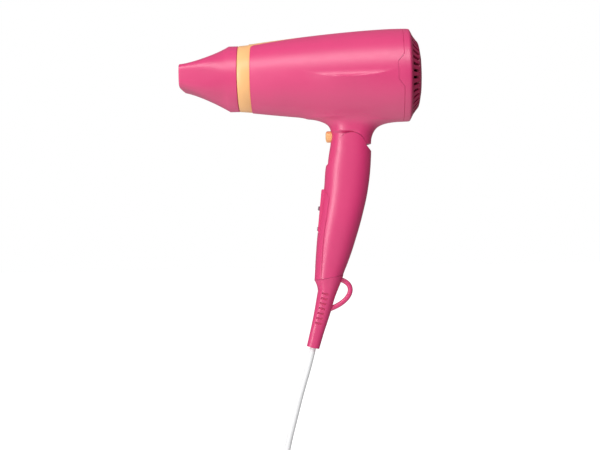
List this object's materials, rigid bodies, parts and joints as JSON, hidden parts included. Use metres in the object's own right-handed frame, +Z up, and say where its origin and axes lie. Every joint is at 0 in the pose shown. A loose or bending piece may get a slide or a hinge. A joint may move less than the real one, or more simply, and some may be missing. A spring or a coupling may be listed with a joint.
{
  "type": "folding hair dryer",
  "caption": "Folding hair dryer: tapered barrel with a slot nozzle, slotted rear cover, switch handle, hanging loop and mains cord.",
  "frame": {"origin": "middle of the grip, where a hand or a clamp holds the dryer", "axes": "+Z up along the handle, -X the way the nozzle blows, -Y the left side with the casing halves meeting at y = 0"},
  "size_m": [0.2226, 0.1006, 0.4388],
  "materials": {
    "pink_shell": "satin moulded plastic",
    "grille": "satin moulded plastic",
    "yellow_trim": "satin moulded plastic",
    "grey_knob": "satin",
    "filter_mesh": "fine woven mesh",
    "ivory_plastic": "matt heat-resistant plastic",
    "fan_plastic": "matt",
    "steel": "satin zinc plate",
    "polished_steel": "bright nickel plate",
    "circuit_board": "matt solder mask",
    "mica": "flaky sheet",
    "heating_wire": "drawn wire",
    "black_plastic": "matt",
    "wire_sleeve": "smooth",
    "cord_sleeve": "smooth pale grey",
    "film_yellow": "glossy film"
  },
  "bodies": {
    "handle": {"handle_shell_left": "pink_shell", "handle_shell_right": "pink_shell", "hinge_pin": "polished_steel", "hinge_spring": "steel", "switch_panel": "pink_shell", "speed_switch": "black_plastic", "heat_switch": "black_plastic", "suppression_capacitor": "film_yellow", "handle_wires": "wire_sleeve", "handle_screws": "steel", "cord_clamp": "black_plastic", "clamp_screws": "steel", "strain_relief": "pink_shell", "cord_tube": "cord_sleeve", "cord_coil": "cord_sleeve", "cord_tie": "black_plastic", "plug_body": "cord_sleeve", "plug_pins": "polished_steel", "plug_relief": "cord_sleeve"},
    "speed_knob": {"speed_slider": "grey_knob"},
    "heat_knob": {"heat_slider": "grey_knob"},
    "barrel": {"barrel_shell_left": "pink_shell", "barrel_shell_right": "pink_shell", "trim_ring": "yellow_trim", "outlet_grille": "black_plastic", "fan_housing": "ivory_plastic", "motor_mount": "ivory_plastic", "motor_can": "steel", "rectifier_board": "circuit_board", "mica_cross": "mica", "heating_coil": "heating_wire", "mica_sleeve": "mica", "thermostat": "ivory_plastic", "thermal_fuse": "steel", "cool_shot_spring": "steel", "cool_shot_switch": "black_plastic", "barrel_wires": "wire_sleeve"},
    "nozzle": {"nozzle": "pink_shell"},
    "rear_cover": {"rear_cover": "pink_shell", "intake_grille": "grille", "dust_mesh": "filter_mesh"},
    "fan": {"fan_impeller": "fan_plastic", "motor_shaft": "polished_steel"},
    "cool_shot": {"cool_shot_button": "yellow_trim"}
  },
  "joints": [
    {"name": "fold", "type": "hinge", "parent": "handle", "child": "barrel", "pos_m": [0.009, 0, 0.058], "axis": [0, -1, 0], "range_deg": [0, 70]},
    {"name": "nozzle_turn", "type": "hinge", "parent": "barrel", "child": "nozzle", "pos_m": [-0.101, 0, 0.124], "axis": [1, 0, 0], "continuous": true},
    {"name": "rear_cover_pull", "type": "slide", "parent": "barrel", "child": "rear_cover", "axis": [1, 0, 0], "range_m": [0, 0.03]},
    {"name": "fan_spin", "type": "hinge", "parent": "barrel", "child": "fan", "pos_m": [0.029, 0, 0.124], "axis": [1, 0, 0], "continuous": true},
    {"name": "cool_shot_press", "type": "slide", "parent": "barrel", "child": "cool_shot", "axis": [1, 0, 0], "range_m": [0, 0.002], "stiffness_N_per_m": 800, "springref_m": -0.0005},
    {"name": "speed_slide", "type": "slide", "parent": "handle", "child": "speed_knob", "axis": [-0.1097, 0, -0.994], "range_m": [-0.004, 0.004]},
    {"name": "heat_slide", "type": "slide", "parent": "handle", "child": "heat_knob", "axis": [-0.1097, 0, -0.994], "range_m": [-0.008, 0]}
  ]
}
